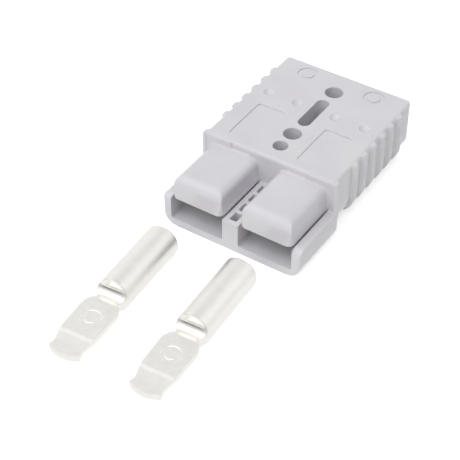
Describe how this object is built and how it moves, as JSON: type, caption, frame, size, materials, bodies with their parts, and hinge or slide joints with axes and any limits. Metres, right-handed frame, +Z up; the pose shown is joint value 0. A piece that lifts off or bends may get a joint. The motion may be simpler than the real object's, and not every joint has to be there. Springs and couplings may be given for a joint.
{
  "type": "genderless power connector",
  "caption": "Genderless power connector: moulded housing with open mating tray, contact blocks, ribbed sides, leaf springs and loose crimp contacts",
  "frame": {"origin": "on the supporting surface, at the middle of the mating edge of the tray", "axes": "+Y from the mating edge to the cable face, +X across the poles, +Z up"},
  "size_m": [0.056, 0.1543, 0.0244],
  "materials": {
    "moulded_housing": "satin",
    "spring_steel": "brushed",
    "plated_contact": "satin plated"
  },
  "bodies": {
    "root": {"housing": "moulded_housing", "spring_left": "spring_steel", "spring_right": "spring_steel", "contact_left": "plated_contact", "contact_right": "plated_contact"}
  },
  "joints": []
}
